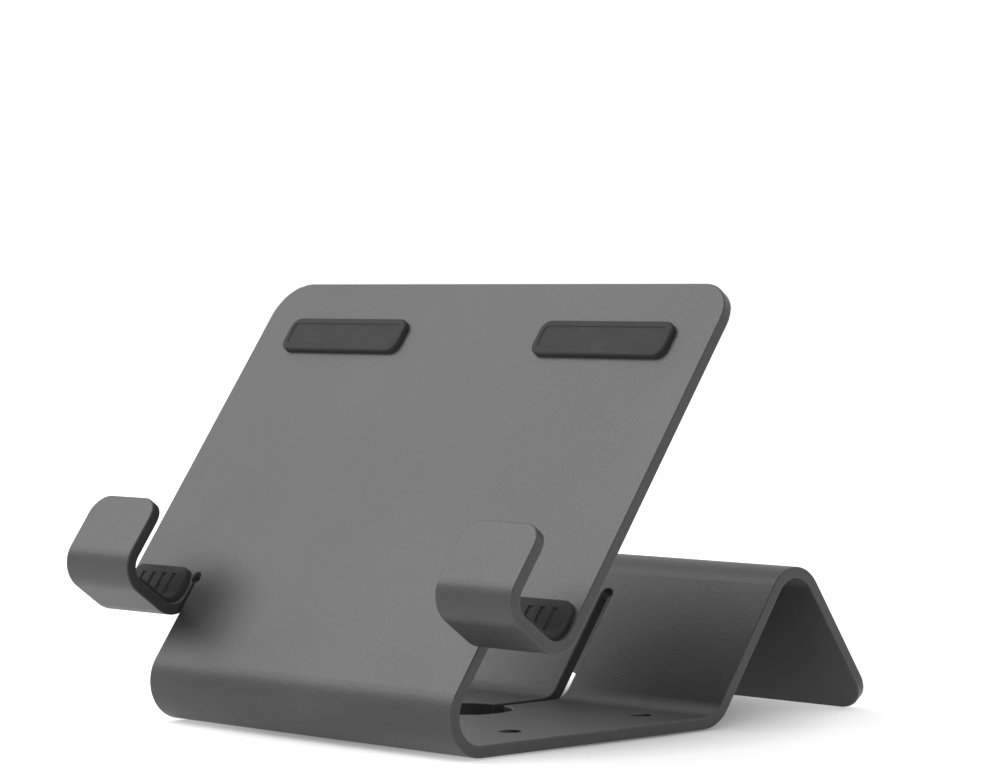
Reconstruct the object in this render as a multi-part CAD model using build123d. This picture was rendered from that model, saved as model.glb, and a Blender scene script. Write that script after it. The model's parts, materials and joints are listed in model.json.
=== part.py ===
from build123d import *
import os
from math import cos, radians, sin, tan

# A tablet stand folded from one strip of sheet metal. A wide back plate leans back
# and carries two J-shaped hooks for the tablet's lower edge. Its middle tongue runs
# on down, rolls under into a flat base, climbs a ramp and folds down into a rear leg.
#
# Frame: X to the right, Y to the back, Z up, in millimetres. The origin is at the
# middle of the stand's outer box, on the surface that it stands on.

os.makedirs("parts", exist_ok=True)

# ---- Sheet ---------------------------------------------------------------------
SHEET = 3.0              # thickness of the metal
PLATE_SLOPE = 54.4       # rise of the back plate and front wall, in degrees
RAMP_SLOPE = 54.7        # rise of the ramp, and fall of the rear leg
EDGE_BREAK = 0.4         # rounding on every cut edge
SHARP_FROM = 20.0        # least angle between two faces at a cut edge, in degrees
TONGUE_WIDTH = 108.8     # front roll, base, ramp and rear leg
HOOK_WIDTH = 24.7
SLIT_WIDTH = 1.1         # between the tongue and each hook
SLIT_HOLE = 3.0          # diameter of the relief hole that ends each slit
PLATE_WIDTH = TONGUE_WIDTH + 2 * (SLIT_WIDTH + HOOK_WIDTH)

# ---- Side profile, measured on the tablet side and the underside ------------------
BASE_LENGTH = 101.4      # between the sharp corners at the two ends of the base
HOLES_TO_CORNER = 65.8   # from the base's front corner back to the hole pattern
PLATE_LENGTH = 134.6     # up the slope, from the base's front corner to the top edge
BEND_RADIUS = 7.0        # inside of the front roll, the heel and the fold
RAMP_RUN = 28.5          # level distance from the base's rear corner to the fold
PLATE_CORNER = 10.0      # rounding of the plate's top corners
LEG_CORNER = 9.5         # rounding of the leg's bottom corners

# ---- Hooks, measured from the plate's front face ----------------------------------
HOOK_RISE = 33.2         # up the slope from the base's front corner to the hook floor
HOOK_DEPTH = 18.2        # clear depth between plate and lip
LIP_HEIGHT = 20.0        # from the hook floor to the tip
HOOK_REAR_RADIUS = 5.0   # inside of the bend under the tablet's back
HOOK_FRONT_RADIUS = 4.5  # inside of the bend up into the lip
LIP_CORNER = 5.5         # rounding of the lip's tip
SLIT_TOP = 43.0          # up the slope to the end of each slit

# ---- Holes ------------------------------------------------------------------------
SCREW_HOLE = 5.5         # diameter
SCREW_SPACING_X = 80.0
SCREW_SPACING_Y = 46.0
CABLE_HOLE = 25.0        # round part of the keyhole, in the middle of the pattern
CABLE_SLOT = 4.0         # width of the narrow part
SLOT_TOP = 27.0          # height of the slot's closed end on the ramp

# ---- Soft parts -------------------------------------------------------------------
FOOT_THICK = 0.4
FOOT_DIAMETER = 10.0
FOOT_SPACING_X = 56.0
FOOT_FRONT_Y = -38.0     # from the hole pattern
FOOT_REAR_Y = 23.0
PAD_THICK = 1.5
HOOK_PAD_WIDTH = 21.0
HOOK_PAD_UP = 12.0       # height of the liner on the plate side, above the hook floor
REST_PAD_WIDTH = 44.0
REST_PAD_HEIGHT = 10.0
REST_PAD_CORNER = 3.0
REST_PAD_INSET = 12.0    # from the plate's top and side edges

# ---- Side view helpers: points are (Y, Z), with Y = 0 at the hole pattern ---------
LEAN = radians(PLATE_SLOPE)
CLIMB = radians(RAMP_SLOPE)
UP_PLATE = Vector(cos(LEAN), sin(LEAN))
OUT_OF_PLATE = Vector(-sin(LEAN), cos(LEAN))
UP_RAMP = Vector(cos(CLIMB), sin(CLIMB))
OUT_OF_RAMP = Vector(-sin(CLIMB), cos(CLIMB))
FRONT_CORNER = Vector(-HOLES_TO_CORNER, FOOT_THICK)
REAR_CORNER = Vector(BASE_LENGTH - HOLES_TO_CORNER, FOOT_THICK)
FOLD = REAR_CORNER + Vector(RAMP_RUN, RAMP_RUN * tan(CLIMB))
EDGE_LOSS = EDGE_BREAK * (sin(CLIMB) + cos(CLIMB) - 1)    # height that rounding takes off the leg's edge
LEG_END = Vector(FOLD.X + (FOLD.Y + EDGE_LOSS) / tan(CLIMB), -EDGE_LOSS)


def on_plate(up, out=0.0):
    """Side-view point at a distance up the plate's front face and out from it."""
    return FRONT_CORNER + UP_PLATE * up + OUT_OF_PLATE * out


def on_ramp(height, out=0.0):
    """Side-view point at a height on the ramp's rear face, and out from it to the front."""
    return REAR_CORNER + UP_RAMP * ((height - FOOT_THICK) / sin(CLIMB)) + OUT_OF_RAMP * out


def plate_plane(up, out=0.0, x=0.0):
    """Plane parallel to the plate's front face: local X across, local Y up the slope."""
    at = on_plate(up, out)
    return Plane(origin=(x, at.X, at.Y), x_dir=(1, 0, 0), z_dir=(0, OUT_OF_PLATE.X, OUT_OF_PLATE.Y))


def strip(points, radii, thickness, width, x=0.0):
    """A bent strip whose front face follows the points, with its thickness on their left."""
    with BuildPart() as made:
        with BuildSketch(Plane.YZ.offset(x - width / 2)):
            with BuildLine() as datum:
                FilletPolyline(*[(p.X, p.Y) for p in points], radius=radii)
                offset(amount=thickness, side=Side.LEFT, kind=Kind.ARC)
            make_face()
        extrude(amount=width)
    return made.part


def corner_loss(radius, plane, toward_right):
    """What rounding a corner takes away. The corner is the plane's origin, the sheet above it."""
    inward = -1 if toward_right else 1
    with BuildPart() as made:
        with BuildSketch(plane):
            with Locations((inward * radius / 2, radius / 2)):
                Rectangle(radius, radius)
            with Locations((inward * radius, radius)):
                Circle(radius, mode=Mode.SUBTRACT)
        extrude(amount=2 * SHEET, both=True)
    return made.part


def sharp_edges(part):
    """Every edge where two faces meet at more than a slight angle."""
    faces_of = {}
    for face in part.faces():
        for edge in face.edges():
            faces_of.setdefault(edge, []).append(face)
    picked = []
    for edge, pair in faces_of.items():
        middle = edge @ 0.5
        if len(pair) == 2 and pair[0].normal_at(middle).get_angle(pair[1].normal_at(middle)) > SHARP_FROM:
            picked.append(edge)
    return picked


# ---- Folded body ------------------------------------------------------------------
def tongue():
    """Middle strip: back plate, front roll, base, ramp, fold and rear leg."""
    path = [on_plate(PLATE_LENGTH), FRONT_CORNER, REAR_CORNER, FOLD, LEG_END]
    outside = BEND_RADIUS + SHEET
    shape = strip(path, [outside, outside, BEND_RADIUS], SHEET, TONGUE_WIDTH)
    for side in (-1, 1):
        foot = Plane(
            origin=(side * TONGUE_WIDTH / 2, LEG_END.X, LEG_END.Y),
            x_dir=(1, 0, 0),
            z_dir=(0, -sin(CLIMB), -cos(CLIMB)),
        )
        shape -= corner_loss(LEG_CORNER, foot, side > 0)
    return shape


def hook(x):
    """J-shaped hook: down the plate, under the tablet's edge and up in front of it."""
    tip = HOOK_RISE + LIP_HEIGHT
    path = [
        on_plate(SLIT_TOP + SHEET),
        on_plate(HOOK_RISE),
        on_plate(HOOK_RISE, HOOK_DEPTH),
        on_plate(tip, HOOK_DEPTH),
    ]
    shape = strip(path, [HOOK_REAR_RADIUS, HOOK_FRONT_RADIUS], SHEET, HOOK_WIDTH, x)
    for side in (-1, 1):
        corner = plate_plane(tip, HOOK_DEPTH, x + side * HOOK_WIDTH / 2).rotated((180, 0, 0))
        shape -= corner_loss(LIP_CORNER, corner, side > 0)
    return shape


def back_plate():
    """Full-width part of the back plate, above the slits that free the hooks."""
    height = PLATE_LENGTH - SLIT_TOP
    with BuildPart() as made:
        with BuildSketch(plate_plane(SLIT_TOP)) as face:
            Rectangle(PLATE_WIDTH, height, align=(Align.CENTER, Align.MIN))
            fillet(face.vertices().sort_by(Axis.Y)[-2:], PLATE_CORNER)
        extrude(amount=-SHEET)
    return made.part


def slot_end(depth):
    """Plane facing out of the ramp where the slot stops, sunk below the ramp's rear face."""
    at = on_ramp(SLOT_TOP, -depth)
    return Plane(origin=(0, at.X, at.Y), x_dir=(1, 0, 0), z_dir=(0, OUT_OF_RAMP.X, OUT_OF_RAMP.Y))


def relief_holes():
    """Round holes that end the slits between the tongue and the hooks."""
    with BuildPart() as cut:
        with BuildSketch(plate_plane(SLIT_TOP)):
            with GridLocations(TONGUE_WIDTH + SLIT_WIDTH, 0, 2, 1):
                Circle(SLIT_HOLE / 2)
        extrude(amount=2 * SHEET, both=True)
    return cut.part


def base_openings():
    """Screw holes and the keyhole, whose slot runs back through the heel and up the ramp."""
    with BuildPart() as cut:
        with BuildSketch(Plane.XY.offset(FOOT_THICK - SHEET)):
            with GridLocations(SCREW_SPACING_X, SCREW_SPACING_Y, 2, 2):
                Circle(SCREW_HOLE / 2)
            Circle(CABLE_HOLE / 2)
        extrude(amount=3 * SHEET)
        with BuildSketch(Plane.YZ):
            front = on_ramp(SLOT_TOP, 2 * SHEET)
            rear = on_ramp(SLOT_TOP, -SHEET)
            below = REAR_CORNER + Vector(SHEET, -SHEET)
            Polygon(
                (0, below.Y),
                (below.X, below.Y),
                (rear.X, rear.Y),
                (front.X, front.Y),
                (0, 4 * SHEET),
                align=None,
            )
        extrude(amount=CABLE_SLOT / 2, both=True)
        with BuildSketch(slot_end(SHEET)):
            Circle(CABLE_SLOT / 2)
        extrude(amount=3 * SHEET)
    return cut.part


def folded_body():
    """The whole sheet, with every cut edge slightly rounded."""
    hook_x = (PLATE_WIDTH - HOOK_WIDTH) / 2
    sheet = tongue() + back_plate() + hook(-hook_x) + hook(hook_x) - relief_holes() - base_openings()
    return fillet(sharp_edges(sheet), EDGE_BREAK)


# ---- Soft parts -------------------------------------------------------------------
def foot(x, y):
    """Thin round anti-slip foot stuck under the base."""
    upright = (Align.CENTER, Align.CENTER, Align.MIN)
    return Pos(x, y, 0) * Cylinder(FOOT_DIAMETER / 2, FOOT_THICK, align=upright)


def hook_liner(x):
    """Rubber liner in a hook, under and behind the tablet's lower edge."""
    inner = [
        on_plate(HOOK_RISE + HOOK_PAD_UP, PAD_THICK),
        on_plate(HOOK_RISE + PAD_THICK, PAD_THICK),
        on_plate(HOOK_RISE + PAD_THICK, HOOK_DEPTH - HOOK_FRONT_RADIUS),
    ]
    return strip(inner, [HOOK_REAR_RADIUS - PAD_THICK], PAD_THICK, HOOK_PAD_WIDTH, x)


def rest_pad(x):
    """Rubber pad near the top of the plate, where the tablet's back leans."""
    up = PLATE_LENGTH - REST_PAD_INSET - REST_PAD_HEIGHT / 2
    with BuildPart() as made:
        with BuildSketch(plate_plane(up, 0, x)):
            RectangleRounded(REST_PAD_WIDTH, REST_PAD_HEIGHT, REST_PAD_CORNER)
        extrude(amount=PAD_THICK)
    return made.part


# ---- Assembly ---------------------------------------------------------------------
def pieces():
    """Every separate piece by name, still with Y = 0 at the hole pattern."""
    made = {"folded_body": folded_body()}
    for side, sign in (("left", -1), ("right", 1)):
        made[f"hook_liner_{side}"] = hook_liner(sign * (PLATE_WIDTH - HOOK_WIDTH) / 2)
        made[f"rest_pad_{side}"] = rest_pad(sign * (PLATE_WIDTH / 2 - REST_PAD_INSET - REST_PAD_WIDTH / 2))
        for row, y in (("front", FOOT_FRONT_Y), ("rear", FOOT_REAR_Y)):
            made[f"foot_{row}_{side}"] = foot(sign * FOOT_SPACING_X / 2, y)
    return made


stand = pieces()
body_box = stand["folded_body"].bounding_box()
to_origin = Pos(0, -(body_box.min.Y + body_box.max.Y) / 2, 0)
for name, piece in stand.items():
    export_step(to_origin * piece, f"parts/{name}.step")
print("size", body_box.size, "hole pattern centre at Y", to_origin.position.Y)
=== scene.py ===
import json
from math import pi, radians, sqrt

import bmesh
import bpy
from mathutils import Matrix, Vector


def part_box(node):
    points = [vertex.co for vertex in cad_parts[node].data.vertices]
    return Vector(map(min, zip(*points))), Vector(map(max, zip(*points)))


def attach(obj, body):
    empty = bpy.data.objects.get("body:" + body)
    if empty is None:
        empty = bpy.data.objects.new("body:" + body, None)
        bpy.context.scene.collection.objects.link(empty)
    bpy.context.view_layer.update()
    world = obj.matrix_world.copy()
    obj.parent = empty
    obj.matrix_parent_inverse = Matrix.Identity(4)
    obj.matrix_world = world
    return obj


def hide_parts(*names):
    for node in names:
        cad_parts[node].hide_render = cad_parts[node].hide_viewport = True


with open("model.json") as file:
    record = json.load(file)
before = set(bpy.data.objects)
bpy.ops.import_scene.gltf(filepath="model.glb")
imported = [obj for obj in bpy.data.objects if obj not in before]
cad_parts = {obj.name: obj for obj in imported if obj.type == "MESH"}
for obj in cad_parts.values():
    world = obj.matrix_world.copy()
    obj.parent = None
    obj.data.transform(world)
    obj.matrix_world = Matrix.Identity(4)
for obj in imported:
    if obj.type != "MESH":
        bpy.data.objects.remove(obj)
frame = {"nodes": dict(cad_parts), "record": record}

# Looks for a folded sheet-metal tablet stand: powder-coated body, rubber liners in the
# two hooks, rubber rest pads near the top of the plate and thin rubber feet.
# Metres throughout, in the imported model's own frame: X right, Y back, Z up.

bpy.context.view_layer.update()
MM = 0.001
SAME_PLACE = 1e-7            # points closer than this are one point
ON_LINE = 1e-6               # slack when a point is tested against a line or a plane

# ---- Plate's own axes, from the places that the tablet rests on --------------------------
MOUNTS = {mount["name"]: mount for mount in frame["record"]["mounts"]}
ACROSS = Vector((1, 0, 0))
OUT = Vector(MOUNTS["tablet_back_rest"]["axis"]).normalized()     # square out of the plate
UP = Vector(MOUNTS["hook_floor_left"]["axis"]).normalized()       # up the plate's slope
RUBBER = 1.5 * MM                                                 # thickness of liners and pads
PLATE_FACE = Vector(MOUNTS["tablet_back_rest"]["pos_m"]).dot(OUT) - RUBBER
HOOK_FLOOR = Vector(MOUNTS["hook_floor_left"]["pos_m"]).dot(UP) - RUBBER


def middle(node):
    """Middle of a CAD node's box."""
    low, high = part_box(node)
    return (low + high) / 2


def slope_matrix(across, up, out):
    """Places a shape made with local X across, local Y up the slope and local Z out of the plate."""
    axes = Matrix((ACROSS, UP, OUT)).transposed().to_4x4()
    return Matrix.Translation(ACROSS * across + UP * up + OUT * out) @ axes


# ---- Shader helpers -----------------------------------------------------------------------
OPEN_FACE = 0.995            # how far the rounded and the plain normal agree on an open face
SHARP_EDGE = 0.86            # and right at a sharp edge
EDGE_SAMPLES = 6
MOST_NOISE = (0.3, 0.7)      # range that holds nearly all of a noise


class Finish:
    """A material and short ways to add nodes to it."""

    def __init__(self, name):
        self.material = bpy.data.materials.new(name)
        self.material.use_nodes = True
        self.tree = self.material.node_tree
        self.shader = self.tree.nodes["Principled BSDF"]
        self.place = self.add("ShaderNodeTexCoord").outputs["Object"]

    def add(self, kind, inputs=(), **settings):
        """A node with its settings and inputs; an input is a value or another node's output."""
        node = self.tree.nodes.new(kind)
        for name, value in settings.items():
            setattr(node, name, value)
        for name, value in dict(inputs).items():
            self.feed(node.inputs[name], value)
        return node

    def feed(self, socket, value):
        """Links a node's output to a socket, or sets the socket's own value."""
        if isinstance(value, bpy.types.NodeSocket):
            self.tree.links.new(value, socket)
        else:
            socket.default_value = value

    def surface(self, **inputs):
        """Feeds the shader; an underscore in a name stands for a space."""
        for name, value in inputs.items():
            self.feed(self.shader.inputs[name.replace("_", " ")], value)

    def noise(self, per_metre, detail=2.0, roughness=0.5):
        """Noise whose lumps are about one over per_metre across."""
        inputs = {"Vector": self.place, "Scale": per_metre, "Detail": detail, "Roughness": roughness}
        return self.add("ShaderNodeTexNoise", inputs).outputs["Fac"]

    def cells(self, per_metre):
        """Distance to the nearest of many scattered points."""
        inputs = {"Vector": self.place, "Scale": per_metre}
        return self.add("ShaderNodeTexVoronoi", inputs).outputs["Distance"]

    def remap(self, value, low, high, to_low=0.0, to_high=1.0):
        """The range low to high of a value, stretched to another range and held inside it."""
        inputs = {"Value": value, "From Min": low, "From Max": high, "To Min": to_low, "To Max": to_high}
        return self.add("ShaderNodeMapRange", inputs).outputs["Result"]

    def maths(self, operation, one, other):
        """Two values joined by an operation such as ADD or MULTIPLY."""
        node = self.add("ShaderNodeMath", operation=operation)
        self.feed(node.inputs[0], one)
        self.feed(node.inputs[1], other)
        return node.outputs["Value"]

    def blend(self, share, first, second):
        """A colour between two others."""
        inputs = {"Factor": share, "A": first, "B": second}
        return self.add("ShaderNodeMix", inputs, data_type="RGBA").outputs["Result"]

    def bump(self, height, depth, strength, under=None):
        """Relief of a real depth, on top of another relief."""
        inputs = {"Height": height, "Distance": depth, "Strength": strength}
        if under is not None:
            inputs["Normal"] = under
        return self.add("ShaderNodeBump", inputs).outputs["Normal"]

    def edges(self, radius):
        """One on sharp edges and nought on open faces, fading over about the radius."""
        rounded = self.add("ShaderNodeBevel", {"Radius": radius}, samples=EDGE_SAMPLES).outputs["Normal"]
        facing = self.add("ShaderNodeNewGeometry").outputs["Normal"]
        agree = self.add("ShaderNodeVectorMath", operation="DOT_PRODUCT")
        self.feed(agree.inputs[0], rounded)
        self.feed(agree.inputs[1], facing)
        return self.remap(agree.outputs["Value"], OPEN_FACE, SHARP_EDGE)


def grey(value, warmth=0.0):
    """A near-neutral colour; a positive warmth leans it to red."""
    return (value * (1 + warmth), value, value * (1 - warmth / 2), 1.0)


# ---- Powder coat on the folded body -------------------------------------------------------
COAT_DARK = grey(0.016, 0.012)
COAT_LIGHT = grey(0.024, 0.012)
# paler colour of the grain flecks, and of the painted highlight on the edges
COAT_FLECK_AND_EDGE_HIGHLIGHT = grey(0.1, 0.02)
GRAINS_PER_METRE = 2600
FUSED_CELLS_PER_METRE = 1700
PEEL_PER_METRE = 420
DRIFT_PER_METRE = 22         # slow change of tone over the sheet
HIGHLIGHT_PATCHES_PER_METRE = 160         # patches of painted highlight along the edges
EDGE_HIGHLIGHT_WIDTH = 0.7 * MM
DRIFT_SPAN = (0.35, 0.65)    # the drift noise from all dark to all light
HIGHLIGHT_PATCHES_SEEN = (0.3, 0.62)      # the patch noise from no painted highlight to full painted highlight
HIGH_GRAINS = (0.54, 0.76)   # the grain noise from plain coat to full fleck
FLECK_SHARE = 0.32           # how far the highest grains go to the fleck and highlight colour
COAT_ROUGHNESS = (0.38, 0.5)
COAT_RELIEF = 0.05 * MM
PEEL_STRENGTH = 0.1
CELL_STRENGTH = 0.32
GRAIN_STRENGTH = 0.55


def powder_coat():
    """Charcoal matt powder coat: fused grains over a faint orange peel, and a painted highlight that
    makes the edges paler in patches.
    """
    finish = Finish("powder_coat_charcoal")
    grain = finish.noise(GRAINS_PER_METRE, detail=3.0, roughness=0.62)
    cells = finish.cells(FUSED_CELLS_PER_METRE)
    peel = finish.noise(PEEL_PER_METRE, detail=1.0)
    drift = finish.noise(DRIFT_PER_METRE, detail=3.0, roughness=0.6)
    highlight_patches = finish.noise(HIGHLIGHT_PATCHES_PER_METRE, detail=4.0, roughness=0.65)
    # painted highlight: paler colour along the sharp edges, broken into patches by noise
    painted_edge_highlight = finish.maths("MULTIPLY", finish.edges(EDGE_HIGHLIGHT_WIDTH), finish.remap(highlight_patches, *HIGHLIGHT_PATCHES_SEEN))

    tone = finish.blend(finish.remap(drift, *DRIFT_SPAN), COAT_DARK, COAT_LIGHT)
    flecked = finish.blend(finish.remap(grain, *HIGH_GRAINS, 0.0, FLECK_SHARE), tone, COAT_FLECK_AND_EDGE_HIGHLIGHT)
    relief = finish.bump(peel, COAT_RELIEF, PEEL_STRENGTH)
    relief = finish.bump(cells, COAT_RELIEF, CELL_STRENGTH, relief)
    relief = finish.bump(grain, COAT_RELIEF, GRAIN_STRENGTH, relief)
    finish.surface(
        Base_Color=finish.blend(painted_edge_highlight, flecked, COAT_FLECK_AND_EDGE_HIGHLIGHT),
        Roughness=finish.remap(grain, *MOST_NOISE, *COAT_ROUGHNESS),
        Normal=relief,
        Specular_IOR_Level=0.5,
    )
    return finish.material


# ---- Rubber -------------------------------------------------------------------------------
DUST_PER_METRE = 140
RUBBER_GRAIN_PER_METRE = 2600
RUBBER_ROUGHNESS = (0.66, 0.86)
DUST_SPAN = (0.4, 0.75)      # the dust noise from clean to dusty
STIPPLE_RELIEF = 0.06 * MM
STIPPLE_STRENGTH = 0.5
RUBBER_GRAIN_RELIEF = 0.02 * MM
RUBBER_GRAIN_STRENGTH = 0.4


def moulded_rubber(name, dark, light, stipple_per_metre):
    """Matt black rubber with a fine moulded stipple and a little pale dust in noisy patches."""
    finish = Finish(name)
    dust = finish.noise(DUST_PER_METRE, detail=5.0, roughness=0.65)
    relief = finish.bump(finish.cells(stipple_per_metre), STIPPLE_RELIEF, STIPPLE_STRENGTH)
    grain = finish.noise(RUBBER_GRAIN_PER_METRE)
    relief = finish.bump(grain, RUBBER_GRAIN_RELIEF, RUBBER_GRAIN_STRENGTH, relief)
    finish.surface(
        Base_Color=finish.blend(finish.remap(dust, *DUST_SPAN), grey(dark), grey(light)),
        Roughness=finish.remap(dust, *MOST_NOISE, *RUBBER_ROUGHNESS),
        Normal=relief,
        Specular_IOR_Level=0.35,
    )
    return finish.material


# ---- Mesh helpers -------------------------------------------------------------------------
CREASE = radians(32)         # edges sharper than this stay sharp in the shading


def bevel(shape, geom, width, segments, affect="EDGES"):
    """Rounds edges, or the corners of a flat shape with affect VERTICES."""
    bmesh.ops.bevel(
        shape,
        geom=geom,
        offset=width,
        offset_type="OFFSET",
        affect=affect,
        segments=segments,
        profile=0.5,
        material=-1,
    )


def moved(shape, made, by, kind):
    """Moves the new points of an extrusion along a vector and returns its new edges or faces."""
    points = [item for item in made if isinstance(item, bmesh.types.BMVert)]
    bmesh.ops.translate(shape, vec=by, verts=points)
    return [item for item in made if isinstance(item, kind)]


def pulled_faces(shape, faces, by):
    """Pulls faces along a vector."""
    made = bmesh.ops.extrude_face_region(shape, geom=faces)["geom"]
    return moved(shape, made, by, bmesh.types.BMFace)


def pulled_edges(shape, edges, by):
    """Pulls edges along a vector into walls."""
    made = bmesh.ops.extrude_edge_only(shape, edges=edges)["geom"]
    return moved(shape, made, by, bmesh.types.BMEdge)


def cut_across(shape, at, square_to):
    """Cuts every face of the shape where a plane crosses it, and takes nothing away."""
    everything = shape.verts[:] + shape.edges[:] + shape.faces[:]
    bmesh.ops.bisect_plane(shape, geom=everything, dist=SAME_PLACE, plane_co=at, plane_no=square_to)


def rectangle(width, height):
    """Flat rectangle about the origin, square to local Z."""
    shape = bmesh.new()
    bmesh.ops.create_grid(shape, x_segments=1, y_segments=1, size=0.5)
    bmesh.ops.scale(shape, vec=(width, height, 1), verts=shape.verts)
    return shape


def stage_object(shape, name, material):
    """Turns a shape into an object in the scene and frees the shape."""
    mesh = bpy.data.meshes.new(name)
    shape.to_mesh(mesh)
    shape.free()
    mesh.materials.append(material)
    made = bpy.data.objects.new(name, mesh)
    bpy.context.scene.collection.objects.link(made)
    return made


def piece(shape, name, material, node, place):
    """Turns a finished shape into an object that stands for a CAD node."""
    bmesh.ops.remove_doubles(shape, verts=shape.verts, dist=SAME_PLACE)
    bmesh.ops.recalc_face_normals(shape, faces=shape.faces)
    shape.transform(place)
    made = stage_object(shape, name, material)
    made.data.shade_smooth()
    made.data.set_sharp_from_angle(angle=CREASE)
    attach(made, "root")
    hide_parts(node)
    return made


# ---- Rubber liner in each hook ------------------------------------------------------------
LINER_UP = 12.0 * MM         # how far the liner climbs the plate above the hook floor
LINER_OUT = 13.7 * MM        # how far it runs out along the hook floor
LINER_BEND = 5.0 * MM        # radius of its metal side in the hook's rear bend
LINER_BEND_STEPS = 14
LINER_CORNER = 2.6 * MM
LINER_EDGE = 0.45 * MM
GROOVES = 4
GROOVE_WIDTH = 1.5 * MM
GROOVE_DEPTH = 0.35 * MM
GROOVE_MARGIN = 2.2 * MM     # plain rubber left at both ends of the grooves
RIM_TURN = radians(60)       # least turn between two faces at the liner's outline
RIM_SLACK = 0.02 * MM


def liner_strip(width):
    """Bent strip. Local X across, Y up the plate and Z out of it, from the hook's rear corner."""
    shape = rectangle(width, RUBBER)
    bmesh.ops.delete(shape, geom=shape.faces[:], context="FACES_ONLY")
    bmesh.ops.rotate(shape, cent=(0, 0, 0), matrix=Matrix.Rotation(pi / 2, 3, "X"), verts=shape.verts)
    bmesh.ops.translate(shape, vec=(0, LINER_UP, RUBBER / 2), verts=shape.verts)
    end = pulled_edges(shape, shape.edges[:], Vector((0, LINER_BEND - LINER_UP, 0)))
    turned = bmesh.ops.spin(
        shape,
        geom=end,
        cent=(0, LINER_BEND, LINER_BEND),
        axis=(1, 0, 0),
        angle=-pi / 2,
        steps=LINER_BEND_STEPS,
        use_merge=False,
        use_duplicate=False,
    )
    end = [item for item in turned["geom_last"] if isinstance(item, bmesh.types.BMEdge)]
    pulled_edges(shape, end, Vector((0, 0, LINER_OUT - LINER_BEND)))
    bmesh.ops.holes_fill(shape, edges=shape.edges[:], sides=4)
    bmesh.ops.recalc_face_normals(shape, faces=shape.faces)
    return shape


def is_end_corner(edge, half_width):
    """True for the four short edges through the rubber at the two ends of a liner."""
    a, b = (v.co for v in edge.verts)
    at_side = abs(abs(a.x) - half_width) < ON_LINE and abs(a.x - b.x) < ON_LINE
    at_top = abs(a.y - LINER_UP) < ON_LINE and abs(b.y - LINER_UP) < ON_LINE
    at_tip = abs(a.z - LINER_OUT) < ON_LINE and abs(b.z - LINER_OUT) < ON_LINE
    return at_side and (at_top or at_tip)


def depth_in_liner(point):
    """How far a point is from the metal side of a liner, up to the rubber's thickness."""
    if point.y >= LINER_BEND:
        return point.z
    if point.z >= LINER_BEND:
        return point.y
    return LINER_BEND - sqrt((point.y - LINER_BEND) ** 2 + (point.z - LINER_BEND) ** 2)


def on_tablet_side(part):
    """True for an edge or a face that lies in the side of a liner that meets the tablet."""
    return all(abs(depth_in_liner(v.co) - RUBBER) < RIM_SLACK for v in part.verts)


def is_tablet_side_rim(edge):
    """True for the outline of a liner's tablet side."""
    return len(edge.link_faces) == 2 and edge.calc_face_angle() > RIM_TURN and on_tablet_side(edge)


def is_groove_floor(face, centres):
    """True for the faces of the tablet side that sink into grooves."""
    at = face.calc_center_median()
    inside = at.y < LINER_UP - GROOVE_MARGIN and at.z < LINER_OUT - GROOVE_MARGIN
    in_groove = any(abs(at.x - centre) < GROOVE_WIDTH / 2 for centre in centres)
    return inside and in_groove and on_tablet_side(face)


def sink_grooves(shape, width):
    """Presses the lengthwise grooves into a liner's tablet side."""
    pitch = (width - 2 * LINER_CORNER) / GROOVES
    centres = [(i - (GROOVES - 1) / 2) * pitch for i in range(GROOVES)]
    for centre in centres:
        for edge in (-1, 1):
            cut_across(shape, (centre + edge * GROOVE_WIDTH / 2, 0, 0), (1, 0, 0))
    cut_across(shape, (0, LINER_UP - GROOVE_MARGIN, 0), (0, 1, 0))
    cut_across(shape, (0, 0, LINER_OUT - GROOVE_MARGIN), (0, 0, 1))
    bmesh.ops.inset_region(
        shape,
        faces=[f for f in shape.faces if is_groove_floor(f, centres)],
        thickness=GROOVE_DEPTH,
        depth=-GROOVE_DEPTH,
        use_boundary=True,
        use_even_offset=True,
    )


def hook_liner(side, material):
    """Liner with rounded corners, softened rims and shallow lengthwise grooves on the tablet side."""
    node = f"hook_liner_{side}"
    low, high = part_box(node)
    width = high.x - low.x
    shape = liner_strip(width)
    bevel(shape, [e for e in shape.edges if is_end_corner(e, width / 2)], LINER_CORNER, segments=6)
    bevel(shape, [e for e in shape.edges if is_tablet_side_rim(e)], LINER_EDGE, segments=3)
    sink_grooves(shape, width)
    place = slope_matrix((low.x + high.x) / 2, HOOK_FLOOR, PLATE_FACE)
    piece(shape, f"liner_{side}", material, node, place)


# ---- Rest pads near the top of the plate --------------------------------------------------
PAD_HEIGHT = 10.0 * MM
PAD_CORNER = 3.0 * MM
PAD_EDGE = 0.6 * MM
PAD_RIM = 1.1 * MM           # flat rim around the dished middle
PAD_DISH = 0.25 * MM


def rest_pad(side, material):
    """Round-cornered pad with a soft rim around a shallow dished middle."""
    node = f"rest_pad_{side}"
    low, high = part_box(node)
    shape = rectangle(high.x - low.x, PAD_HEIGHT)
    bevel(shape, shape.verts[:], PAD_CORNER, segments=8, affect="VERTICES")
    bmesh.ops.translate(shape, vec=(0, 0, -RUBBER / 2), verts=shape.verts)
    top = pulled_faces(shape, shape.faces[:], Vector((0, 0, RUBBER)))
    bmesh.ops.recalc_face_normals(shape, faces=shape.faces)
    bevel(shape, list({e for f in top for e in f.edges}), PAD_EDGE, segments=4)
    top = [f for f in shape.faces if f.calc_center_median().z > RUBBER / 2 - ON_LINE]
    for width, depth in ((PAD_RIM, 0.0), (PAD_DISH, -PAD_DISH)):
        bmesh.ops.inset_region(shape, faces=top, thickness=width, depth=depth, use_even_offset=True)
    at = middle(node)
    place = slope_matrix(at.x, at.dot(UP), at.dot(OUT))
    piece(shape, f"pad_{side}", material, node, place)


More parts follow.
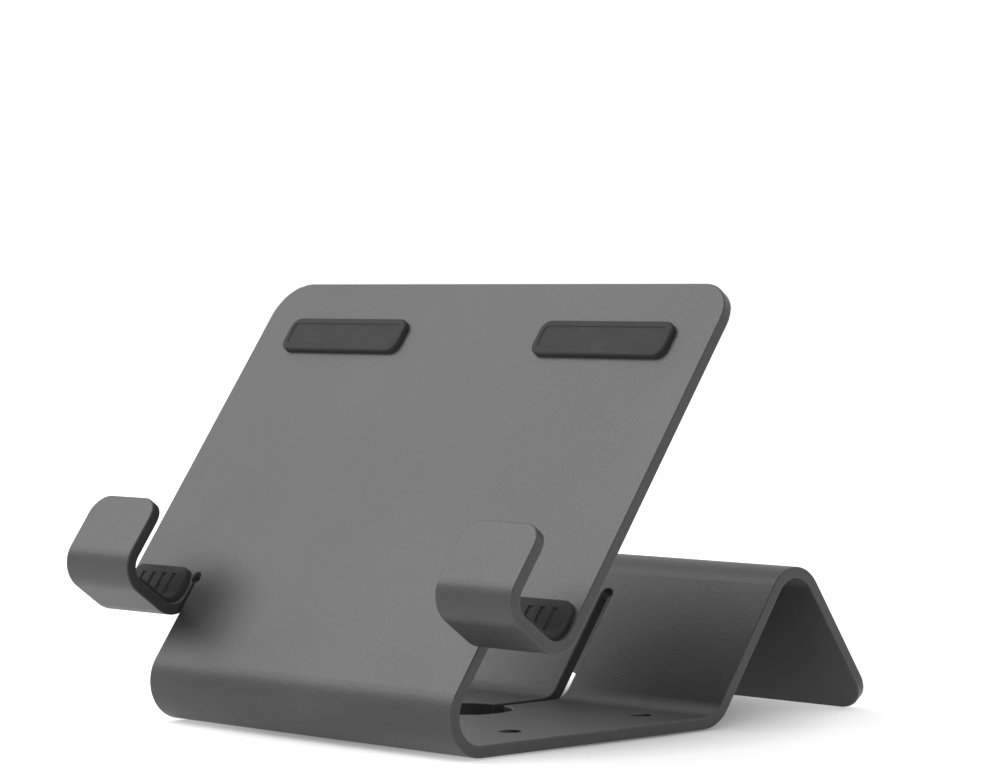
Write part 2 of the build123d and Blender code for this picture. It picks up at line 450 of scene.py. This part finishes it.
# ---- Feet ---------------------------------------------------------------------------------
FOOT_STEPS = 64
FOOT_RINGS = ((0.34, 0.5), (0.7, 0.86))    # inner and outer edge of each ring, as shares of the radius
RING_SLOPE = 0.04                          # width of a ring's sloping side, likewise
RING_DEPTH = 0.25                          # depth of rings and rim chamfer, as a share of the thickness


def foot(row, side, material):
    """Thin disc with a softened rim and two rings pressed into its underside."""
    node = f"foot_{row}_{side}"
    low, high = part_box(node)
    radius = (high.x - low.x) / 2
    thick = high.z - low.z
    ring = thick * RING_DEPTH
    section = [(0, 0)]
    for inner, outer in FOOT_RINGS:
        section += [(radius * inner, 0), (radius * (inner + RING_SLOPE), ring)]
        section += [(radius * (outer - RING_SLOPE), ring), (radius * outer, 0)]
    section += [(radius - ring, 0), (radius, ring), (radius, thick), (0, thick)]
    shape = bmesh.new()
    points = [shape.verts.new((x, 0, z)) for x, z in section]
    lines = [shape.edges.new(pair) for pair in zip(points, points[1:])]
    bmesh.ops.spin(
        shape,
        geom=points + lines,
        cent=(0, 0, 0),
        axis=(0, 0, 1),
        angle=2 * pi,
        steps=FOOT_STEPS,
        use_merge=True,
        use_duplicate=False,
    )
    at = middle(node)
    place = Matrix.Translation((at.x, at.y, low.z))
    piece(shape, f"anti_slip_{row}_{side}", material, node, place)


# ---- Object -------------------------------------------------------------------------------
coat = powder_coat()
for material_slot in frame["nodes"]["folded_body"].material_slots:
    material_slot.material = coat

liner_rubber = moulded_rubber("liner_rubber_black", dark=0.016, light=0.03, stipple_per_metre=1500)
foot_rubber = moulded_rubber("foot_rubber_black", dark=0.024, light=0.042, stipple_per_metre=1100)
for side in ("left", "right"):
    hook_liner(side, liner_rubber)
    rest_pad(side, liner_rubber)
    for row in ("front", "rear"):
        foot(row, side, foot_rubber)


# ---- Floor, light and camera --------------------------------------------------------------
FLOOR_HALF = 6.0
FLOOR_GAP = 0.05 * MM        # keeps the floor just under what stands on it
FLOOR_TONES = (0.6, 0.62)
FLOOR_CLOUDS_PER_METRE = 3
GLOW_AND_PAINTED_CONTACT_SHADE = (0.045, 0.085, 0.06, 0.5)   # from one radius to another, the glow goes from little to more; the little glow near the stand is painted shade under and around it
DISTANT_GLOW = (0.15, 0.6, 0.0, 0.1)       # and what is added to it farther out
ROOM_LIGHT = 1.0
KEY_FROM = Vector((-0.55, -0.45, 0.71)) * 2.4
KEY_AIM = Vector((0, 0, 0.04))
KEY_SIZE = 1.5
KEY_WATTS = 34.0
CAMERA_AT = (0.63336, -0.62836, 0.10834)
CAMERA_TURN = (radians(88.384), 0.0, radians(45.457))
CAMERA_LENS = 128.3          # millimetres, on a sensor 36 wide
CAMERA_REACH = (0.02, 60.0)


def pale_floor():
    """White light table that runs out past the view: matt, and lit a little from below, with painted
    shade where its glow drops close to the stand.
    """
    finish = Finish("pale_floor")
    clouds = finish.remap(finish.noise(FLOOR_CLOUDS_PER_METRE), *MOST_NOISE)
    tone = finish.blend(clouds, *(grey(value) for value in FLOOR_TONES))
    away = finish.add("ShaderNodeVectorMath", operation="LENGTH")
    finish.feed(away.inputs[0], finish.place)
    # painted shade under the stand: less glow close to the middle of the floor
    painted_contact_shade = finish.remap(away.outputs["Value"], *GLOW_AND_PAINTED_CONTACT_SHADE)
    distant = finish.remap(away.outputs["Value"], *DISTANT_GLOW)
    finish.surface(
        Base_Color=tone,
        Roughness=0.9,
        Specular_IOR_Level=0.2,
        Emission_Color=grey(1.0),
        Emission_Strength=finish.maths("ADD", painted_contact_shade, distant),
    )
    shape = rectangle(2 * FLOOR_HALF, 2 * FLOOR_HALF)
    bmesh.ops.translate(shape, vec=(0, 0, -FLOOR_GAP), verts=shape.verts)
    stage_object(shape, "floor", finish.material)


def studio():
    """White surroundings with one broad square lamp at the upper left front."""
    world = bpy.data.worlds.new("white_studio")
    world.use_nodes = True
    surroundings = world.node_tree.nodes["Background"]
    surroundings.inputs["Color"].default_value = grey(1.0)
    surroundings.inputs["Strength"].default_value = ROOM_LIGHT
    bpy.context.scene.world = world

    lamp = bpy.data.lights.new("key", "AREA")
    lamp.size = KEY_SIZE
    lamp.energy = KEY_WATTS
    key = bpy.data.objects.new("key", lamp)
    key.location = KEY_FROM
    key.rotation_euler = (KEY_AIM - KEY_FROM).to_track_quat("-Z", "Y").to_euler()
    bpy.context.scene.collection.objects.link(key)
    bpy.context.scene.view_settings.view_transform = "Standard"


def camera():
    """Long lens at the right front, a little above the floor."""
    lens = bpy.data.cameras.new("camera")
    lens.sensor_width = 36.0
    lens.lens = CAMERA_LENS
    lens.clip_start, lens.clip_end = CAMERA_REACH
    made = bpy.data.objects.new("camera", lens)
    made.location = CAMERA_AT
    made.rotation_euler = CAMERA_TURN
    bpy.context.scene.collection.objects.link(made)
    bpy.context.scene.camera = made


pale_floor()
studio()
camera()

bpy.context.view_layer.update()
